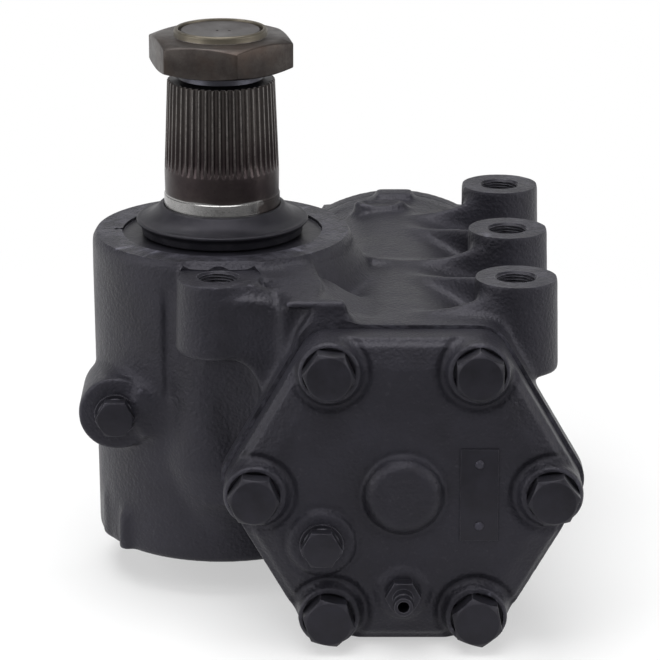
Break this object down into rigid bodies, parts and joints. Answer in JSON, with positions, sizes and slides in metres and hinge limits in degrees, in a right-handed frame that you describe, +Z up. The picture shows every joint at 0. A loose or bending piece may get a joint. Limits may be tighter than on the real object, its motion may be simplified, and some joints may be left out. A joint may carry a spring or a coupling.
{
  "type": "power steering gear",
  "caption": "Hydraulic recirculating-ball steering gear: turning the input shaft swings the serrated drop-arm shaft; four tapped bosses bolt it to a chassis.",
  "frame": {"origin": "axis of the drop-arm shaft in the plane of the four mounting boss faces", "axes": "+Z up along the drop-arm shaft, +Y along the piston cylinder from the end cover to the input shaft, +X from the drop-arm shaft to the piston cylinder"},
  "size_m": [0.2466, 0.415, 0.2773],
  "materials": {
    "cast_paint": "satin black paint over cast iron",
    "fastener_paint": "satin black paint over steel",
    "plate_paint": "satin black paint over sheet metal",
    "shaft_steel": "turned and ground steel, slightly browned",
    "nut_steel": "oxidised steel",
    "input_steel": "turned steel",
    "inner_steel": "oiled machined steel",
    "bearing_steel": "polished bearing steel",
    "piston_iron": "machined iron, oiled",
    "seal_rubber": "matt black rubber",
    "ring_plastic": "filled plastic"
  },
  "bodies": {
    "casing": {"housing": "cast_paint", "front_cover": "cast_paint", "front_cover_seal": "seal_rubber", "front_cover_bolts": "fastener_paint", "cover_plug": "fastener_paint", "cover_plug_washer": "fastener_paint", "bleeder_screw": "fastener_paint", "nameplate": "plate_paint", "nameplate_rivets": "plate_paint", "side_plug": "fastener_paint", "side_plug_washer": "fastener_paint", "sector_cover": "cast_paint", "sector_cover_seal": "seal_rubber", "sector_cover_ring": "fastener_paint", "adjusting_screw": "fastener_paint", "adjuster_lock_nut": "fastener_paint", "upper_sector_bearing": "bearing_steel", "lower_sector_bearing": "bearing_steel", "sector_shaft_seal": "seal_rubber", "seal_support_ring": "inner_steel", "retaining_ring": "fastener_paint", "dust_seal": "seal_rubber", "valve_housing": "cast_paint", "valve_housing_bolts": "fastener_paint", "worm_bearing_outer_ring": "bearing_steel", "input_shaft_bearing": "bearing_steel", "input_shaft_seal": "seal_rubber"},
    "drop_arm_shaft": {"sector_shaft": "shaft_steel", "drop_arm_nut": "nut_steel", "adjuster_retainer": "inner_steel"},
    "piston_assembly": {"piston": "piston_iron", "piston_ring": "ring_plastic", "ball_return_guide": "inner_steel", "recirculating_balls": "bearing_steel"},
    "worm_assembly": {"worm": "inner_steel", "valve_sleeve_rings": "ring_plastic", "worm_bearing_inner_ring": "bearing_steel", "worm_bearing_balls": "bearing_steel", "torsion_bar_front_pin": "inner_steel"},
    "input_assembly": {"input_shaft": "input_steel", "torsion_bar": "inner_steel", "torsion_bar_rear_pin": "inner_steel"}
  },
  "joints": [
    {"name": "worm_turn", "type": "hinge", "parent": "casing", "child": "worm_assembly", "pos_m": [0.0888, 0, -0.0925], "axis": [0, 1, 0], "range_deg": [-780, 780]},
    {"name": "input_twist", "type": "hinge", "parent": "worm_assembly", "child": "input_assembly", "pos_m": [0.0888, 0, -0.0925], "axis": [0, 1, 0], "range_deg": [-3.5, 3.5], "stiffness_Nm_per_rad": 5},
    {"name": "piston_slide", "type": "slide", "parent": "casing", "child": "piston_assembly", "axis": [0, 1, 0], "range_m": [-0.0346, 0.0346]},
    {"name": "drop_arm_turn", "type": "hinge", "parent": "casing", "child": "drop_arm_shaft", "pos_m": [0, 0, 0], "axis": [0, 0, 1], "range_deg": [-43, 43]}
  ],
  "couplings": [
    {"joint": "worm_turn", "follows": "piston_slide", "rad_per_m": -392.7},
    {"joint": "drop_arm_turn", "follows": "piston_slide", "rad_per_m": 21.505}
  ]
}
